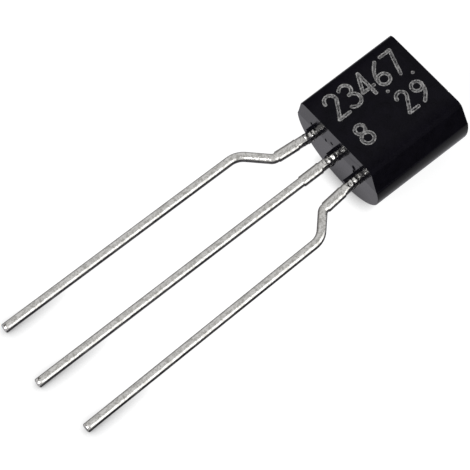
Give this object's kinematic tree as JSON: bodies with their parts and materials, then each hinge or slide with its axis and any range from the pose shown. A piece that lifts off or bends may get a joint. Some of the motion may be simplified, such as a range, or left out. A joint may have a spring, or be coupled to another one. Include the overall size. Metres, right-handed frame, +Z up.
{
  "type": "small-signal transistor",
  "caption": "Small D-shaped moulded transistor lying on its back, with long flat leads, the outer ones formed outward.",
  "frame": {"origin": "centre of the bounding box's bottom face, on the surface that the part lies on", "axes": "+Y from the lead tips to the top end of the case, +Z up, with the flat of the case facing up and tilted about 9 degrees towards the leads, +X towards the base lead"},
  "size_m": [0.0054, 0.0184, 0.0043],
  "materials": {
    "moulding": "satin black moulding compound",
    "tinned_lead": "dull tin plate, lightly speckled",
    "silicon": "polished grey",
    "solder": "matte grey",
    "gold": "bright"
  },
  "bodies": {
    "root": {"epoxy_body": "moulding", "emitter_lead": "tinned_lead", "collector_lead": "tinned_lead", "base_lead": "tinned_lead", "silicon_die": "silicon", "die_attach": "solder", "emitter_bond_wire": "gold", "base_bond_wire": "gold"}
  },
  "joints": []
}
